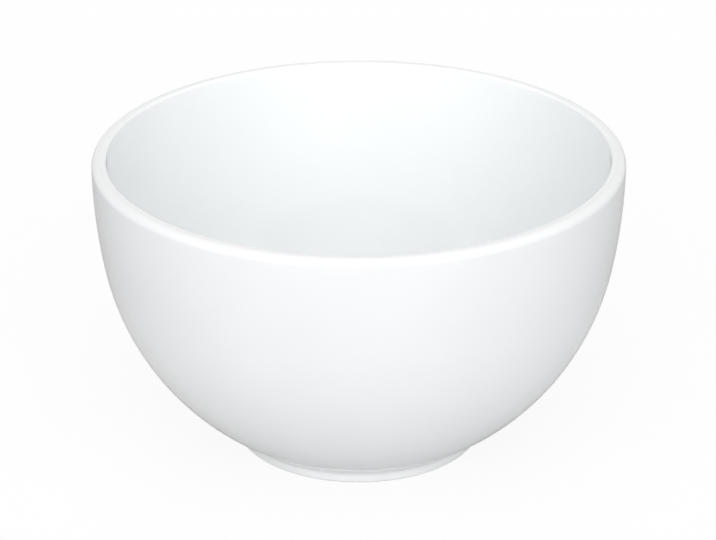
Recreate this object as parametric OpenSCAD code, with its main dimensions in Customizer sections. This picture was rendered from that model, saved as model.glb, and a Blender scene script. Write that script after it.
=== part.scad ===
// Latte bowl: a wide, handleless cup of glazed clay on a low foot ring.
//
// The bowl stands on z = 0 with its axis on the Z axis. Each piece is one section, drawn in
// the half plane right of the axis and revolved once about it.
//
// The outside of the wall is two tangent arcs: a long one for the almost upright flank under
// the lip, and a nearly spherical belly that lands on the foot. The inside is two more arcs,
// which end level in a small flat well. A glaze coat keeps the arc centres of the clay under
// it and changes only the radius, so it is equally thick all over and touches the clay
// everywhere.

/* [Bowl] */
// Diameter over the glazed lip
rim_d = 140; // [126:1:154]
// Height from the table to the crown of the lip
bowl_h = 81; // [73:0.5:89]
// Thickness of the glazed wall at the lip
wall_t = 3.8; // [3.2:0.1:4.6]
// Rounding of the outer corner of the lip
lip_out_r = 2.2; // [1:0.1:2.8]
// Rounding of the inner corner of the lip
lip_in_r = 0.8; // [0.5:0.05:1.5]
// Thickness of the glazed floor over the recess
floor_t = 4.4; // [3.4:0.1:6]

/* [Curves] */
// Radius of the long arc outside, under the lip
flank_r = 149; // [130:1:200]
// Angle in degrees that the outer flank turns inwards before the belly takes over
flank_turn = 10.5; // [7:0.5:13]
// Radius of the long arc inside, under the lip
inner_flank_r = 110; // [100:1:122]
// Diameter of the flat well in the middle of the floor
well_d = 22; // [14:1:30]

/* [Foot] */
// Diameter over the glazed flank of the foot ring
foot_d = 66; // [60:0.5:72]
// Height of the underside of the body above the table
foot_h = 3.6; // [3:0.1:4.4]
// Width of the glazed foot ring, from its outer to its inner flank
foot_w = 4.2; // [3.4:0.1:5.5]
// Rounding of the two standing edges of the foot ring
foot_edge_r = 0.4; // [0.3:0.05:0.7]
// How far the belly stands out past the flank of the foot
foot_step = 0.8; // [0.6:0.05:1.4]

/* [Glaze] */
// Thickness of every coat
glaze_t = 0.3; // [0.2:0.05:0.4]
// Radius of the glaze pooled in the corner above the foot
pool_r = 2.4; // [1:0.1:2.6]
// Radius of the glaze pooled in the corner of the recess
recess_pool_r = 0.9; // [0.5:0.05:1.2]
// Upright bare clay between the standing edges and the coats
bare_h = 0.1; // [0.1:0.05:0.4]

/* [Hidden] */
$fn = 180;

// Furthest that a chord of an outline may lie from the arc it stands for
smooth = 0.01;

rim_r = rim_d / 2;
inner_r = rim_r - wall_t;
// Middle of the flat crown between the two roundings, where the two coats meet
crown_r = (rim_r - lip_out_r + inner_r + lip_in_r) / 2;
foot_r = foot_d / 2;
well_r = well_d / 2;

// Heights at which the two faces of the wall are upright and the roundings of the lip start
lip_out_z = bowl_h - lip_out_r;
lip_in_z = bowl_h - lip_in_r;
// The coats on the foot stop here
coat_z = foot_edge_r + bare_h;
// Underside of the glazed recess, and top of the glazed floor
recess_z = foot_h - glaze_t;
well_z = recess_z + floor_t;

// Outside: the flank leaves the lip upright. From the point where it ends, the belly is the
// one tangent arc that also passes through the point where the body lands on the foot.
flank_c = [rim_r - flank_r, lip_out_z];
lean = [cos(flank_turn), -sin(flank_turn)];
flank_end = flank_c + flank_r * lean;
landing = [foot_r + foot_step, foot_h] - flank_end;
belly_r = (landing * landing) / (-2 * (landing * lean));
belly_c = flank_end - belly_r * lean;

// Inside: the belly is the one arc tangent both to the flank and to the flat well. The line
// between the two arc centres runs inner_reach across, and inner_drop is the flank's radius
// less the depth of the hollow.
inner_flank_c = [inner_r - inner_flank_r, lip_in_z];
inner_reach = inner_flank_r - inner_r + well_r;
inner_drop = inner_flank_r - (lip_in_z - well_z);
inner_gap = (pow(inner_reach, 2) + pow(inner_drop, 2)) / (2 * inner_drop);
inner_turn = atan2(inner_gap - inner_drop, inner_reach);
inner_belly_r = inner_flank_r - inner_gap;
inner_belly_c = [well_r, well_z + inner_belly_r];

// Centre of the arc in which the glaze pools above the foot. The arc touches the upright
// flank of the foot and, at pool_turn below the level of the belly's centre, the belly.
pool_x = foot_r + pool_r;
pool_turn = acos((pool_x - belly_c[0]) / (belly_r + pool_r));
pool_c = [pool_x, belly_c[1] - (belly_r + pool_r) * sin(pool_turn)];

clay_color = [0.90, 0.88, 0.83];
glaze_color = [0.97, 0.98, 0.98];

// Points along an arc about the centre c, with as many steps as smooth asks for
function arc(c, r, from, to) =
    let (steps = max(2, ceil(abs(to - from) / (2 * acos(1 - smooth / r)))))
    [for (k = [0 : steps]) let (a = from + (to - from) * k / steps) c + r * [cos(a), sin(a)]];

// One line of points out of two, where the second starts at the end of the first
function chain(first, next) = concat(first, [for (k = [1 : len(next) - 1]) next[k]]);

function reversed(points) = [for (k = [len(points) - 1 : -1 : 0]) points[k]];

// Angle below the level of the belly's centre at which the belly reaches the underside
function landing_turn(coat) = asin((belly_c[1] - foot_h) / (belly_r - coat));

// Outer face of the wall at a depth coat under the glaze's surface, from the lip's crown
// down the flank and the belly to the angle turn
function outer_face(coat, turn) =
    chain(chain(arc([rim_r - lip_out_r, lip_out_z], lip_out_r - coat, 90, 0),
                arc(flank_c, flank_r - coat, 0, -flank_turn)),
          arc(belly_c, belly_r - coat, -flank_turn, -turn));

// Inner face of the wall and the floor at the same depth, from the lip's crown to the axis
function inner_face(coat) =
    concat(chain(chain(arc([inner_r + lip_in_r, lip_in_z], lip_in_r - coat, 90, 180),
                       arc(inner_flank_c, inner_flank_r + coat, 0, -inner_turn)),
                 arc(inner_belly_c, inner_belly_r + coat, -inner_turn, -90)),
           [[0, well_z - coat]]);

// Fired clay wall and floor, with a flat underside that the foot ring is luted to
module bowl_body() {
    color(clay_color) rotate_extrude() polygon(concat(
        outer_face(glaze_t, landing_turn(glaze_t)),
        [[0, foot_h]],
        reversed(inner_face(glaze_t))));
}

// Ring of the same clay. Its two standing edges are rounded and stay bare.
module foot_ring() {
    outer_x = foot_r - glaze_t;
    inner_x = foot_r - foot_w + glaze_t;
    color(clay_color) rotate_extrude() polygon(concat(
        [[inner_x, foot_h], [outer_x, foot_h]],
        arc([outer_x - foot_edge_r, foot_edge_r], foot_edge_r, 0, -90),
        arc([inner_x + foot_edge_r, foot_edge_r], foot_edge_r, -90, -180)));
}

// Coat from the lip's crown down the belly and, through the pool in the corner, the foot
module outside_glaze() {
    color(glaze_color) rotate_extrude() polygon(concat(
        [[crown_r, bowl_h]],
        chain(outer_face(0, pool_turn), arc(pool_c, pool_r, 180 - pool_turn, 180)),
        [[foot_r, coat_z], [foot_r - glaze_t, coat_z], [foot_r - glaze_t, foot_h]],
        reversed(outer_face(glaze_t, landing_turn(glaze_t))),
        [[crown_r, bowl_h - glaze_t]]));
}

// Coat from the lip's crown down the hollow of the bowl and over its floor
module inside_glaze() {
    color(glaze_color) rotate_extrude() polygon(concat(
        [[crown_r, bowl_h]],
        inner_face(0),
        reversed(inner_face(glaze_t)),
        [[crown_r, bowl_h - glaze_t]]));
}

// Coat in the recess: under the floor, through the pool in the corner, and down the foot
module underfoot_glaze() {
    flank_x = foot_r - foot_w;
    color(glaze_color) rotate_extrude() polygon(concat(
        [[0, foot_h], [0, recess_z]],
        arc([flank_x - recess_pool_r, recess_z - recess_pool_r], recess_pool_r, 90, 0),
        [[flank_x, coat_z], [flank_x + glaze_t, coat_z], [flank_x + glaze_t, foot_h]]));
}

bowl_body();
foot_ring();
outside_glaze();
inside_glaze();
underfoot_glaze();
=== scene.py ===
# %% [markdown]
# # A white latte bowl
#
# A latte bowl is a wide cup without a handle. It is turned from pale clay, fired once,
# covered with a glossy white glaze inside and out, and fired again on its bare foot.
#
# This lesson dresses the measured solids of the bowl. Every visible piece is a surface
# worked out with numpy, at the place that the solids give it, and every finish is a small
# tree of nodes. All lengths are in metres.

# %% Load the measured solids
import bpy
import numpy as np
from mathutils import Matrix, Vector


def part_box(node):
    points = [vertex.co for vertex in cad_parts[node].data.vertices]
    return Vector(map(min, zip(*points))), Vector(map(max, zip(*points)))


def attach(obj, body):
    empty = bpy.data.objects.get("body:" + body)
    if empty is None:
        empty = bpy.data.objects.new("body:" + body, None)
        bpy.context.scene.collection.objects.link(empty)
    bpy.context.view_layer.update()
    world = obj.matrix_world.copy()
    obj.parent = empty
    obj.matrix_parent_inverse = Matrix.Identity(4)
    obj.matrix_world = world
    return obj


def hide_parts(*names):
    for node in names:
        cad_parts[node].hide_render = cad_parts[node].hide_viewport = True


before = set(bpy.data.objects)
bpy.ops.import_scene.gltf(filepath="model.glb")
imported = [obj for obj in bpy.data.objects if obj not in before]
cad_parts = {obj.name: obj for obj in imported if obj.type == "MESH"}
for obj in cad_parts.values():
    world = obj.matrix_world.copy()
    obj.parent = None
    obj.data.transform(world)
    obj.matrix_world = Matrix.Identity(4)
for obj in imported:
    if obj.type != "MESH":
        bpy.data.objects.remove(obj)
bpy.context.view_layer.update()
print("solids:", sorted(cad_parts))

# %% [markdown]
# ## The sizes that the surfaces share
#
# The reach of each solid is read from its box, so the dressed bowl can't drift away from
# the part. A box doesn't tell how a curve runs between its ends, so the radii of the arcs
# are written here once, the same as in the part's source.

# %% Sizes read from the boxes of the solids
outside_low, outside_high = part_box("outside_glaze")
inside_low, inside_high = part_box("inside_glaze")
body_low, body_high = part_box("bowl_body")
ring_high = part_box("foot_ring")[1]

rim_r = outside_high.x
top_z = outside_high.z
crown_r = inside_high.x
coat_t = outside_high.x - body_high.x
coat_edge_z = outside_low.z
floor_z = inside_low.z + coat_t
foot_top_z = body_low.z
foot_r = ring_high.x + coat_t
print("radius over the lip", round(rim_r, 5), "height", round(top_z, 5))
print("coat", round(coat_t, 5), "floor at", round(floor_z, 5), "foot radius", round(foot_r, 5))

# %% Radii and widths of the section
lip_out = 0.0022
lip_in = 0.0008
flank_radius = 0.149
flank_turn = np.radians(10.5)
hollow_flank_radius = 0.110
well_r = 0.011
foot_width = 0.0042
foot_edge = 0.0004
foot_step = 0.0008
pool_radius = 0.0024
recess_pool_radius = 0.0009

lip_out_z = top_z - lip_out
lip_in_z = top_z - lip_in
inner_r = 2 * crown_r - (rim_r - lip_out) - lip_in
recess_z = foot_top_z - coat_t
print("wall at the lip", round(rim_r - inner_r, 5), "floor", round(floor_z - recess_z, 5))

# %% [markdown]
# ## The section of the wall
#
# A potter shapes such a bowl with two templates, one for each face. The outer template is
# a long flat arc under the lip and a nearly round belly below it. The inner one is another
# flat arc, a rounder one, and a small level well.
#
# A free curve through a few points could follow this too, but it would wave a little
# between them, and a glossy glaze shows every wave. Tangent arcs can't wave, so the
# section is a chain of arcs, each starting where the last one ended.

# %% One arc of the section
def arc(centre, radius, start, stop, count):
    """Points (r, z) on a circle: centre plus radius times (cos, sin) of an even run of angles."""
    angle = np.linspace(start, stop, count)
    return np.stack([centre[0] + radius * np.cos(angle), centre[1] + radius * np.sin(angle)], 1)


def chain(*lines):
    """The lines one after another, without the points that repeat the one before them."""
    points = np.concatenate(lines)
    step = np.linalg.norm(np.diff(points, axis=0), axis=1)
    return points[np.concatenate([[True], step > 1e-8])]


# %% Centres of the outer arcs
flank_centre = np.array([rim_r - flank_radius, lip_out_z])
lean = np.array([np.cos(flank_turn), -np.sin(flank_turn)])
flank_end = flank_centre + flank_radius * lean
landing = np.array([foot_r + foot_step, foot_top_z]) - flank_end
belly_radius = landing @ landing / (-2 * landing @ lean)
belly_centre = flank_end - belly_radius * lean

pool_x = foot_r + pool_radius
pool_turn = np.arccos((pool_x - belly_centre[0]) / (belly_radius + pool_radius))
pool_centre = np.array([pool_x, belly_centre[1] - (belly_radius + pool_radius) * np.sin(pool_turn)])
print("belly arc", round(belly_radius, 5), "about", belly_centre.round(5))

# %% Centres of the inner arcs
hollow_centre = np.array([inner_r - hollow_flank_radius, lip_in_z])
reach = hollow_flank_radius - inner_r + well_r
drop = hollow_flank_radius - (lip_in_z - floor_z)
gap = (reach ** 2 + drop ** 2) / (2 * drop)
hollow_turn = np.arctan2(gap - drop, reach)
bowl_radius = hollow_flank_radius - gap
bowl_centre = np.array([well_r, floor_z + bowl_radius])
print("inner belly arc", round(bowl_radius, 5), "about", bowl_centre.round(5))


# %% The two faces of the wall
quarter = np.pi / 2

# Points along each stretch of the section
corner_points = 14
flank_points = 14
hollow_flank_points = 18
belly_points = 26
well_points = 6


def outer_face(depth, turn, fine):
    """Lip corner, flank arc and belly arc, each with depth taken off its radius."""
    lip = arc((rim_r - lip_out, lip_out_z), lip_out - depth, quarter, 0, corner_points * fine)
    flank = arc(flank_centre, flank_radius - depth, 0, -flank_turn, flank_points * fine)
    belly = arc(belly_centre, belly_radius - depth, -flank_turn, -turn, belly_points * fine)
    return chain(lip, flank, belly)


def inner_face(depth, fine):
    """Lip corner, flank arc, belly arc and well, each with depth added to its radius."""
    lip = arc((inner_r + lip_in, lip_in_z), lip_in - depth, quarter, np.pi, corner_points * fine)
    flank = arc(hollow_centre, hollow_flank_radius + depth, 0, -hollow_turn,
                hollow_flank_points * fine)
    belly = arc(bowl_centre, bowl_radius + depth, -hollow_turn, -quarter, belly_points * fine)
    count = well_points * fine
    well = np.stack([np.linspace(well_r, 0, count), np.full(count, floor_z - depth)], 1)
    return chain(lip, flank, belly, well)


print("points down the outer face:", len(outer_face(0, pool_turn, 1)))
print("points down the inner face:", len(inner_face(0, 1)))


# %% [markdown]
# ## A section becomes a turned piece
#
# The wheel carries the section round the axis, so a point of the surface is a function of
# two numbers: how far along the section, and how far round.
#
# Clay never comes out of the kiln quite true. The lip of this bowl sits a few tenths of a
# millimetre lower on one side, and it is a hair from round. The same small settling is
# applied to every piece, so the coats stay on the clay, and it only ever moves a point
# inwards or down, so the bowl stays inside its measured box.

# %% The settling of the clay in the kiln
lip_drop = 0.00030
lip_oval = 0.00012
lip_lobes = 0.00005
oval_turn = 0.5
lobes_turn = -0.3


def settle(points):
    """Lowers a point by lip_drop times how far left it is, and draws it in by two and three lobes.
    Both grow with the square of the height, so the foot stays flat and round."""
    x, y, z = points[..., 0], points[..., 1], points[..., 2]
    rise = (z / top_z) ** 2
    around = np.arctan2(y, x)
    inward = lip_oval * (1 - np.cos(2 * (around - oval_turn))) / 2
    inward = inward + lip_lobes * (1 - np.cos(3 * (around - lobes_turn))) / 2
    factor = 1 - rise * inward / rim_r
    lower = lip_drop * rise * (rim_r - x) / (2 * rim_r)
    return np.stack([x * factor, y * factor, z - lower], -1)


# %% A closed mesh from a section carried round the axis
steps_round = 360
sharp_from = np.radians(40)


def turned(section, on_axis):
    """Point (r, z) goes to (r cos a, r sin a, z) at each angle a of a full turn.
    A section that starts and ends on the axis closes in two poles, any other one on itself."""
    angle = np.linspace(0, 2 * np.pi, steps_round, endpoint=False)
    body = section[1:-1] if on_axis else section
    rows = len(body)
    grid = np.empty((rows, steps_round, 3))
    grid[..., 0] = body[:, :1] * np.cos(angle)
    grid[..., 1] = body[:, :1] * np.sin(angle)
    grid[..., 2] = body[:, 1:]
    points = grid.reshape(-1, 3)
    row = np.arange(rows - 1 if on_axis else rows)[:, None]
    column = np.arange(steps_round)[None, :]
    after = (column + 1) % steps_round
    below = (row + 1) % rows
    quads = np.stack([row * steps_round + column, below * steps_round + column,
                      below * steps_round + after, row * steps_round + after], -1)
    faces = [tuple(f) for f in quads.reshape(-1, 4)]
    if on_axis:
        poles = np.array([[0, 0, section[0, 1]], [0, 0, section[-1, 1]]])
        first = rows * steps_round
        last_row = (rows - 1) * steps_round
        a = np.arange(steps_round)
        b = (a + 1) % steps_round
        points = np.concatenate([points, poles])
        first_fan = np.stack([np.full_like(a, first), a, b], 1)
        last_fan = np.stack([np.full_like(a, first + 1), last_row + b, last_row + a], 1)
        faces += [tuple(f) for f in np.concatenate([first_fan, last_fan])]
    return settle(points), faces


# %% Put a turned piece into Blender
def volume(points, faces):
    """Signed volume: the sum over all corners' fans of the product a . (b x c) / 6."""
    total = 0.0
    for size in (3, 4):
        some = np.array([f for f in faces if len(f) == size], int).reshape(-1, size)
        for k in range(1, size - 1):
            a, b, c = points[some[:, 0]], points[some[:, k]], points[some[:, k + 1]]
            total += np.einsum("ij,ij->", a, np.cross(b, c)) / 6
    return total


def make_piece(name, section, on_axis, material, node):
    """A smooth turned piece that stands for one solid and rides with it."""
    points, faces = turned(section, on_axis)
    inside_out = volume(points, faces) < 0
    if inside_out:
        faces = [f[::-1] for f in faces]
    mesh = bpy.data.meshes.new(name)
    mesh.from_pydata(points.tolist(), [], faces)
    mesh.polygons.foreach_set("use_smooth", np.ones(len(mesh.polygons), bool))
    mesh.set_sharp_from_angle(angle=sharp_from)
    mesh.materials.append(material)
    mesh.update()
    piece = bpy.data.objects.new(name, mesh)
    bpy.context.scene.collection.objects.link(piece)
    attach(piece, "root")
    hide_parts(node)
    triangles = sum(len(f) - 2 for f in faces)
    cm3 = abs(volume(points, faces)) * 1e6
    print(name, "triangles", triangles, "volume", round(cm3, 2), "cm3")


# %% [markdown]
# ## White glaze
#
# The glaze is a layer of glass, a third of a millimetre thick, made white by fine crystals
# in it. From a distance it is one even white. Up close it clouds a little, it runs thin
# and warm over the lip, and it pools thick and slightly blue in the corners by the foot.
#
# Its surface is never optically flat: it keeps a long soft wave from the clay under it, a
# finer skin like orange peel, and here and there a pinhole where gas got out. A plain
# glossy shader looks like plastic, because its reflections are too perfect. So colour,
# roughness and bump all get a little of this, at its real scale.

# %% Small helpers for a tree of nodes
# Most of a noise lies between these two shades
noise_low = 0.3
noise_high = 0.7


def add_node(tree, kind, **settings):
    """A new node of that kind, with its settings and its inputs given by name."""
    node = tree.nodes.new(kind)
    for key, value in settings.items():
        if key in node.inputs:
            node.inputs[key].default_value = value
        else:
            setattr(node, key, value)
    return node


def object_space(tree):
    """The place of a point on the bowl, in metres from the middle of the foot."""
    return add_node(tree, "ShaderNodeTexCoord").outputs["Object"]


def noise(tree, place, scale, detail):
    """Soft random shades between 0 and 1, with scale waves to the metre."""
    node = add_node(tree, "ShaderNodeTexNoise", Scale=scale, Detail=detail)
    tree.links.new(place, node.inputs["Vector"])
    return node.outputs["Fac"]


def spread(tree, value, low, high, to_low, to_high):
    """The value from low to high becomes to_low to to_high, and stays there outside."""
    node = add_node(tree, "ShaderNodeMapRange", interpolation_type="SMOOTHSTEP")
    tree.links.new(value, node.inputs["Value"])
    node.inputs["From Min"].default_value = low
    node.inputs["From Max"].default_value = high
    node.inputs["To Min"].default_value = to_low
    node.inputs["To Max"].default_value = to_high
    return node.outputs["Result"]


def combine(tree, operation, first, second):
    """The result of that operation on a value and a second value or a plain number."""
    node = add_node(tree, "ShaderNodeMath", operation=operation)
    tree.links.new(first, node.inputs[0])
    if isinstance(second, (int, float)):
        node.inputs[1].default_value = second
    else:
        tree.links.new(second, node.inputs[1])
    return node.outputs["Value"]


def tint(tree, share, first, second):
    """The first colour where the share is 0, the second where it is 1."""
    node = add_node(tree, "ShaderNodeMix", data_type="RGBA")
    tree.links.new(share, node.inputs["Factor"])
    for socket, colour in ((node.inputs[6], first), (node.inputs[7], second)):
        if isinstance(colour, tuple):
            socket.default_value = (*colour, 1)
        else:
            tree.links.new(colour, socket)
    return node.outputs[2]


def bump(tree, height, distance, below=None):
    """A bump whose height of 1 stands for distance metres, over the bump below it."""
    node = add_node(tree, "ShaderNodeBump", Strength=1.0, Distance=distance)
    tree.links.new(height, node.inputs["Height"])
    if below is not None:
        tree.links.new(below, node.inputs["Normal"])
    return node.outputs["Normal"]


def new_material(name):
    """An empty material with its shader, and the two things that its nodes hang on."""
    material = bpy.data.materials.new(name)
    material.use_nodes = True
    shader = material.node_tree.nodes["Principled BSDF"]
    return material, material.node_tree, shader


# %% The colours and scales of the glaze
# Waves or cells to the metre
cloud_scale = 45
patch_scale = 160
haze_scale = 220
pit_scale = 90.0
wave_scale = 28
peel_scale = 420

# Heights of the bumps, and how far below the crown the glaze is thin
wave_height = 0.00006
peel_height = 0.0000012
pit_depth = 0.00002
thin_reach = 0.0022

# How far a pinhole reaches, as a share of its cell, and the range of the roughness
pit_share = 0.022
glaze_roughness = 0.03, 0.06
glaze_ior = 1.5

thin_white = (0.90, 0.88, 0.84)
pooled_white = (0.95, 0.965, 0.97)
outer_whites = (0.873, 0.881, 0.892), (0.888, 0.895, 0.905)
# Painted light: the inside whites are the same glaze as the outside, painted lighter and a touch
# greener to stand in for the brighter, bounced light inside the hollow.
inner_painted_light_whites = (0.903, 0.921, 0.924), (0.917, 0.931, 0.934)
print("a pinhole about every", round(1000 / pit_scale), "mm, an orange peel of",
      round(1000 / peel_scale, 1), "mm")


# %% The finish of the glaze
def glaze_material(name, clear, cloudy, thin_share, pool_low, pool_high, pool_share):
    """White glaze that clouds between two whites, goes thin_share of the way to warm over the
    lip, and pool_share of the way to blue-white between the heights pool_high and pool_low."""
    material, tree, shader = new_material(name)
    place = object_space(tree)
    height = add_node(tree, "ShaderNodeSeparateXYZ")
    tree.links.new(place, height.inputs[0])
    z = height.outputs["Z"]
    clouds = noise(tree, place, cloud_scale, detail=4)
    white = tint(tree, spread(tree, clouds, noise_low, noise_high, 0, 1), clear, cloudy)
    patches = noise(tree, place, patch_scale, detail=3)
    patchy = spread(tree, patches, 0.25, 0.75, 0.6, 1)
    high = spread(tree, z, top_z - thin_reach, top_z, 0, thin_share)
    thin = combine(tree, "MULTIPLY", high, patchy)
    warm = tint(tree, thin, white, thin_white)
    pooled = spread(tree, z, pool_high, pool_low, 0, pool_share)
    tree.links.new(tint(tree, pooled, warm, pooled_white), shader.inputs["Base Color"])
    haze = noise(tree, place, haze_scale, detail=3)
    roughness = spread(tree, haze, noise_low, noise_high, *glaze_roughness)
    tree.links.new(roughness, shader.inputs["Roughness"])
    pits = add_node(tree, "ShaderNodeTexVoronoi", Scale=pit_scale)
    tree.links.new(place, pits.inputs["Vector"])
    pinhole = spread(tree, pits.outputs["Distance"], 0.0, pit_share, 0, 1)
    wave = bump(tree, noise(tree, place, wave_scale, detail=2), wave_height)
    peel = bump(tree, noise(tree, place, peel_scale, detail=2), peel_height, wave)
    tree.links.new(bump(tree, pinhole, pit_depth, peel), shader.inputs["Normal"])
    shader.inputs["IOR"].default_value = glaze_ior
    return material


outside_finish = glaze_material("glaze_outside_finish", *outer_whites, thin_share=0.12,
                                pool_low=0.0024, pool_high=0.0040, pool_share=0.8)
# The inside coat takes the lighter whites, which is painted light for the hollow.
inside_painted_light = glaze_material("glaze_inside_painted_light", *inner_painted_light_whites, thin_share=0.12,
                               pool_low=0.0077, pool_high=0.0100, pool_share=0.3)
underfoot_finish = glaze_material("glaze_underfoot_finish", *outer_whites, thin_share=0.0,
                                  pool_low=0.0022, pool_high=0.0036, pool_share=0.5)

# %% [markdown]
# ## Bare clay
#
# Glaze would weld the bowl to the kiln shelf, so the standing face of the foot is wiped
# bare. There the fired clay shows: matt, a warm off-white, with fine sandy grain, a few
# dark specks of iron, and greyish rubbing where it has slid over tables.

# %% The colours and scales of the bare clay
# Waves or cells to the metre
mottle_scale = 240
speck_scale = 700.0
speck_patch_scale = 500
smudge_scale = 90
grain_scale = 2600

# Height of the grain, how far up the foot the rubbing reaches, and the range of roughness
grain_height = 0.00003
rub_reach = 0.0006
clay_roughness = 0.72, 0.9

buff_tones = (0.88, 0.87, 0.85), (0.93, 0.925, 0.91)
iron_brown = (0.35, 0.26, 0.19)
rubbed_grey = (0.78, 0.775, 0.76)
print("grain of", round(1000 / grain_scale, 2), "mm, rubbed up to", rub_reach * 1000, "mm")


# %% The finish of the bare clay
def clay_material(name, wear_share):
    """Matt fired clay with grain and specks, greyed by wear_share close to the table."""
    material, tree, shader = new_material(name)
    place = object_space(tree)
    height = add_node(tree, "ShaderNodeSeparateXYZ")
    tree.links.new(place, height.inputs[0])
    mottle = noise(tree, place, mottle_scale, detail=5)
    buff = tint(tree, spread(tree, mottle, noise_low, noise_high, 0, 1), *buff_tones)
    dots = add_node(tree, "ShaderNodeTexVoronoi", Scale=speck_scale)
    tree.links.new(place, dots.inputs["Vector"])
    speckled = noise(tree, place, speck_patch_scale, detail=2)
    few = spread(tree, speckled, 0.60, 0.66, 0, 0.75)
    near = spread(tree, dots.outputs["Distance"], 0.22, 0.10, 0, 1)
    speck = combine(tree, "MULTIPLY", near, few)
    specked = tint(tree, speck, buff, iron_brown)
    low = spread(tree, height.outputs["Z"], rub_reach, 0.0, 0, wear_share)
    smudges = noise(tree, place, smudge_scale, detail=4)
    smudge = spread(tree, smudges, 0.35, 0.65, 0.3, 1)
    rubbed = combine(tree, "MULTIPLY", low, smudge)
    tree.links.new(tint(tree, rubbed, specked, rubbed_grey), shader.inputs["Base Color"])
    grain = noise(tree, place, grain_scale, detail=4)
    roughness = spread(tree, grain, noise_low, noise_high, *clay_roughness)
    tree.links.new(roughness, shader.inputs["Roughness"])
    tree.links.new(bump(tree, grain, grain_height), shader.inputs["Normal"])
    return material


body_finish = clay_material("clay_body_finish", wear_share=0.0)
foot_finish = clay_material("clay_foot_finish", wear_share=0.6)

# %% [markdown]
# ## The clay body
#
# The body is the wall and the floor, with a flat underside that the foot ring is luted to.
# The coats hide it all, but it carries them, so it is made like the rest.

# %% Turn the clay body
landing_turn = np.arcsin((belly_centre[1] - foot_top_z) / (belly_radius - coat_t))
body_section = chain(np.array([[0, foot_top_z]]), outer_face(coat_t, landing_turn, 1)[::-1],
                     inner_face(coat_t, 1))
make_piece("clay_body", body_section, True, body_finish, "bowl_body")

# %% [markdown]
# ## The foot ring
#
# A low ring of the same clay, with both standing edges sponged round so that they don't
# scratch the table. The ground face between them is flat.

# %% Turn the foot ring
ring_out = foot_r - coat_t
ring_in = foot_r - foot_width + coat_t
edge_points = 10
ring_section = chain(
    np.array([[ring_in, foot_top_z], [ring_out, foot_top_z]]),
    arc((ring_out - foot_edge, foot_edge), foot_edge, 0, -quarter, edge_points),
    arc((ring_in + foot_edge, foot_edge), foot_edge, -quarter, -np.pi, edge_points))
make_piece("clay_foot", ring_section, False, foot_finish, "foot_ring")

# %% [markdown]
# ## The outside coat
#
# From the crown of the lip the coat runs down the belly and gathers in the corner above
# the foot. It ends on the foot in a soft rolled edge, because molten glaze pulls itself
# round where the wiped clay begins.

# %% Turn the outside coat
edge_roll = 0.00013
roll_points = 6
outside_section = chain(
    np.array([[crown_r, top_z]]),
    outer_face(0, pool_turn, 2),
    arc(pool_centre, pool_radius, np.pi - pool_turn, np.pi, corner_points),
    arc((foot_r - edge_roll, coat_edge_z + edge_roll), edge_roll, 0, -quarter, roll_points),
    np.array([[foot_r - coat_t, coat_edge_z], [foot_r - coat_t, foot_top_z]]),
    outer_face(coat_t, landing_turn, 1)[::-1],
    np.array([[crown_r, top_z - coat_t]]))
make_piece("glaze_outside", outside_section, False, outside_finish, "outside_glaze")

# %% [markdown]
# ## The inside coat
#
# The coat over the hollow starts where the other one does, at the crown of the lip, and
# covers the floor without a break.

# %% Turn the inside coat
inside_section = chain(
    inner_face(0, 2)[::-1],
    np.array([[crown_r, top_z], [crown_r, top_z - coat_t]]),
    inner_face(coat_t, 1))
# Its whites are painted lighter and a touch greener than the outside's, as painted light for the
# hollow.
make_piece("glaze_inside", inside_section, True, inside_painted_light, "inside_glaze")

# %% [markdown]
# ## The coat under the foot
#
# The shallow recess inside the ring is glazed too, so that the wet bowl doesn't mark a
# table. The glaze gathers in its corner and ends on the ring in the same rolled edge.

# %% Turn the coat under the foot
recess_x = foot_r - foot_width
recess_points = 24
recess_run = np.linspace(0, recess_x - recess_pool_radius, recess_points)
underfoot_section = chain(
    np.stack([recess_run, np.full(recess_points, recess_z)], 1),
    arc((recess_x - recess_pool_radius, recess_z - recess_pool_radius), recess_pool_radius,
        quarter, 0, corner_points),
    arc((recess_x + edge_roll, coat_edge_z + edge_roll), edge_roll,
        np.pi, 3 * quarter, roll_points),
    np.array([[recess_x + coat_t, coat_edge_z], [recess_x + coat_t, foot_top_z],
              [0, foot_top_z]]))
make_piece("glaze_underfoot", underfoot_section, True, underfoot_finish,
           "underfoot_glaze")

# %% [markdown]
# ## Floor and background
#
# The bowl stands on a plain pale floor that runs on into a plain pale room. To the camera
# both are white, and that white comes from their own colour and not from more light, so
# the glaze keeps its tones. The floor keeps a part of its own shading, which is the soft
# shadow under the bowl.

# %% A material that is white to the camera and in reflections
def white_to_the_eye(tree):
    """1 for camera, glossy and transmission rays, and 0 for the rays that carry light."""
    path = add_node(tree, "ShaderNodeLightPath")
    total = path.outputs["Is Camera Ray"]
    for name in ("Is Glossy Ray", "Is Transmission Ray"):
        total = combine(tree, "MAXIMUM", total, path.outputs[name])
    return total


# %% The floor
floor_reach = 3.0
floor_grey = 0.62
floor_white_share = 0.88

floor_material = bpy.data.materials.new("pale_floor")
floor_material.use_nodes = True
tree = floor_material.node_tree
tree.nodes.clear()
eye = white_to_the_eye(tree)
shaded = add_node(tree, "ShaderNodeBsdfDiffuse")
paint = tint(tree, eye, (floor_grey, floor_grey, floor_grey), (1.0, 1.0, 1.0))
tree.links.new(paint, shaded.inputs["Color"])
white = add_node(tree, "ShaderNodeEmission", Strength=1.0)
share = combine(tree, "MULTIPLY", eye, floor_white_share)
blend = add_node(tree, "ShaderNodeMixShader")
tree.links.new(share, blend.inputs["Fac"])
tree.links.new(shaded.outputs[0], blend.inputs[1])
tree.links.new(white.outputs[0], blend.inputs[2])
output = add_node(tree, "ShaderNodeOutputMaterial")
tree.links.new(blend.outputs[0], output.inputs["Surface"])

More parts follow.
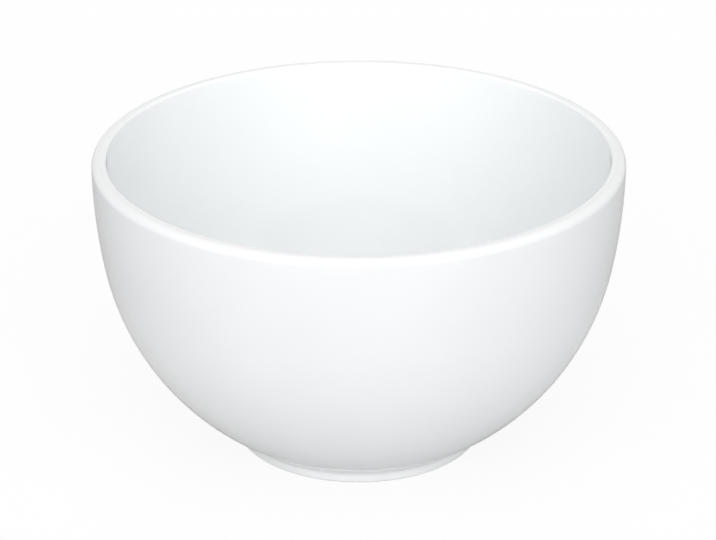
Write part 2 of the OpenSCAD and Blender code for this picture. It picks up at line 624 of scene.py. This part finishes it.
corners = floor_reach * np.array([[-1, -1, 0], [1, -1, 0], [1, 1, 0], [-1, 1, 0]], float)
floor_mesh = bpy.data.meshes.new("floor")
floor_mesh.from_pydata(corners.tolist(), [], [(0, 1, 2, 3)])
floor_mesh.materials.append(floor_material)
floor = bpy.data.objects.new("floor", floor_mesh)
bpy.context.scene.collection.objects.link(floor)

# %% [markdown]
# ## Soft studio light
#
# The near side of the bowl is evenly bright and its sides fall to a soft grey, which is
# what draws a white bowl on a white ground. Small lamps could do this, but each would leave
# its own picture in the glaze. A tent does it more softly: a bright wall in front, one that
# leans in above it, a dimmer one on either side, and a weak one behind. In such a wall the
# glow is strongest at its middle and falls off as a power of the cosine. Two soft boxes open
# up the inside: one overhead, and one low behind the bowl that lights its near inner wall.

# %% The room
# Each wall has its azimuth, elevation, level and sharpness. Azimuth 0 is straight in front.
walls = ((0, 10, 2.32, 4), (0, 45, 1.23, 4), (-90, 0, 0.91, 4), (90, 0, 0.91, 4),
         (180, 0, 0.47, 1))


def toward(azimuth, elevation):
    """The direction from the bowl: (sin a cos e, -cos a cos e, sin e)."""
    a = np.radians(azimuth)
    e = np.radians(elevation)
    return Vector((np.sin(a) * np.cos(e), -np.cos(a) * np.cos(e), np.sin(e)))


world = bpy.data.worlds.new("pale_room")
bpy.context.scene.world = world
world.use_nodes = True
tree = world.node_tree
tree.nodes.clear()
direction = add_node(tree, "ShaderNodeTexCoord").outputs["Generated"]
strength = None
for azimuth, elevation, level, sharpness in walls:
    facing = add_node(tree, "ShaderNodeVectorMath", operation="DOT_PRODUCT")
    tree.links.new(direction, facing.inputs[0])
    facing.inputs[1].default_value = toward(azimuth, elevation)
    glow = combine(tree, "MAXIMUM", facing.outputs["Value"], 0.0)
    glow = combine(tree, "MULTIPLY", combine(tree, "POWER", glow, sharpness), level)
    strength = glow if strength is None else combine(tree, "ADD", strength, glow)
felt = add_node(tree, "ShaderNodeBackground")
felt.inputs["Color"].default_value = (1, 1, 1, 1)
tree.links.new(strength, felt.inputs["Strength"])
seen = add_node(tree, "ShaderNodeBackground", Strength=1.0)
seen.inputs["Color"].default_value = (1, 1, 1, 1)
blend = add_node(tree, "ShaderNodeMixShader")
tree.links.new(white_to_the_eye(tree), blend.inputs["Fac"])
tree.links.new(felt.outputs[0], blend.inputs[1])
tree.links.new(seen.outputs[0], blend.inputs[2])
output = add_node(tree, "ShaderNodeOutputWorld")
tree.links.new(blend.outputs[0], output.inputs["Surface"])

# %% The two soft boxes
# Both face this point, inside the bowl
middle = Vector((0, 0, 0.05))


def soft_box(name, azimuth, elevation, distance, width, height, watts):
    """An area lamp that faces the bowl from that direction. The glaze doesn't mirror it."""
    lamp = bpy.data.lights.new(name, "AREA")
    lamp.shape = "RECTANGLE"
    lamp.size = width
    lamp.size_y = height
    lamp.energy = watts
    away = toward(azimuth, elevation)
    box = bpy.data.objects.new(name, lamp)
    box.location = middle + away * distance
    box.rotation_mode = "QUATERNION"
    box.rotation_quaternion = away.to_track_quat("Z", "Y")
    box.visible_glossy = False
    bpy.context.scene.collection.objects.link(box)
    return box


box_distance = 1.2
top_box = soft_box("top_box", 0, 85, box_distance, width=0.8, height=0.8, watts=2.5)
back_box = soft_box("back_box", 180, 25, box_distance, width=0.6, height=0.6, watts=2.0)
print("soft boxes:", top_box.data.energy, "W overhead,", back_box.data.energy, "W behind")

# %% [markdown]
# ## Cards for the glaze to mirror
#
# A glossy white thing in an all-white room loses its edges, because at a flat angle the
# glaze mirrors the white. A photographer lays grey cards round it, just out of the
# picture, and hangs a dark cloth over the camera. The edges then mirror the grey, and the
# far inner wall shows where the mirrored lip ends and the dark begins. Here both are seen
# by reflections alone, so they change neither the light nor the background.

# %% A card that only reflections see
# The matt card is pale up to near_reach from the axis, and grey from far_reach on
near_reach = 0.07
far_reach = 0.14


def card(name, points, faces, level, glowing):
    """A card with an even glow of that level, or a matt grey of it. Two levels stand for one
    within near_reach of the axis that turns softly into another by far_reach."""
    material = bpy.data.materials.new(name + "_grey")
    material.use_nodes = True
    tree = material.node_tree
    tree.nodes.clear()
    kind = "ShaderNodeEmission" if glowing else "ShaderNodeBsdfDiffuse"
    shader = add_node(tree, kind)
    if isinstance(level, tuple):
        distance = add_node(tree, "ShaderNodeVectorMath", operation="LENGTH")
        tree.links.new(object_space(tree), distance.inputs[0])
        grey = spread(tree, distance.outputs["Value"], near_reach, far_reach, *level)
        tree.links.new(grey, shader.inputs["Color"])
    else:
        shader.inputs["Color"].default_value = (level, level, level, 1)
    output = add_node(tree, "ShaderNodeOutputMaterial")
    tree.links.new(shader.outputs[0], output.inputs["Surface"])
    mesh = bpy.data.meshes.new(name)
    mesh.from_pydata(points.tolist(), [], faces.tolist())
    mesh.materials.append(material)
    board = bpy.data.objects.new(name, mesh)
    bpy.context.scene.collection.objects.link(board)
    board.visible_camera = False
    board.visible_diffuse = False
    board.visible_transmission = False
    board.visible_shadow = False
    print(name, "of", len(faces), "faces")


def grid_faces(rows, columns):
    """The squares between neighbouring points of a grid of rows and columns."""
    corner = (np.arange(rows - 1)[:, None] * columns + np.arange(columns - 1)).reshape(-1, 1)
    return corner + np.array([[0, 1, columns + 1, columns]])


# %% The card on the floor
# The ring lies round the foot: (r cos a, r sin a) for two radii and a full turn of angles. It
# reaches a little under the foot, so that no white floor shows in between, and lies a hair
# above the floor.
card_tuck = 0.0005
card_radii = foot_r - card_tuck, 0.6
card_height = 0.0003
card_levels = 0.82, 0.62
card_columns = 73
turn, radius = np.meshgrid(np.linspace(0, 2 * np.pi, card_columns), card_radii)
ring_points = np.stack([radius * np.cos(turn), radius * np.sin(turn), 0 * turn + card_height], -1)
card_faces = grid_faces(len(card_radii), card_columns)
card("floor_card", ring_points.reshape(-1, 3), card_faces, card_levels, glowing=False)

# %% The cloth over the camera
# A piece of a sphere between two azimuths and two heights, in degrees.
cloth_distance = 1.6
cloth_sides = -60, 60
cloth_heights = 18, 80
cloth_level = 0.05
cloth_rows = 8
cloth_columns = 13
across = np.radians(np.linspace(*cloth_sides, cloth_columns))
up = np.radians(np.linspace(*cloth_heights, cloth_rows))
side, climb = np.meshgrid(across, up)
cloth_points = cloth_distance * np.stack([np.sin(side) * np.cos(climb),
                                          -np.cos(side) * np.cos(climb), np.sin(climb)], -1)
cloth_faces = grid_faces(cloth_rows, cloth_columns)
card("front_cloth", cloth_points.reshape(-1, 3), cloth_faces, cloth_level, glowing=True)

# %% [markdown]
# ## Camera
#
# The photograph looks down at the bowl from a little over a third of a metre up and nearly
# three quarters of a metre away, through a long lens, so the lip is an open ellipse and the
# far side is only a little smaller than the near one.

# %% The camera
camera_data = bpy.data.cameras.new("camera")
camera_data.sensor_width = 36
camera_data.lens = 150.74
camera_data.clip_start = 0.01
camera_data.clip_end = 20
camera = bpy.data.objects.new("camera", camera_data)
look_down = np.radians(24.4)
camera_distance = 0.8
aim = Vector((-0.00019, 0, 0.0467))
back = Vector((0, -np.cos(look_down), np.sin(look_down)))
camera.location = aim + back * camera_distance
camera.rotation_mode = "QUATERNION"
camera.rotation_quaternion = back.to_track_quat("Z", "Y")
bpy.context.scene.collection.objects.link(camera)
bpy.context.scene.camera = camera
bpy.context.scene.view_settings.view_transform = "Standard"
print("camera at", [round(v, 4) for v in camera.location])
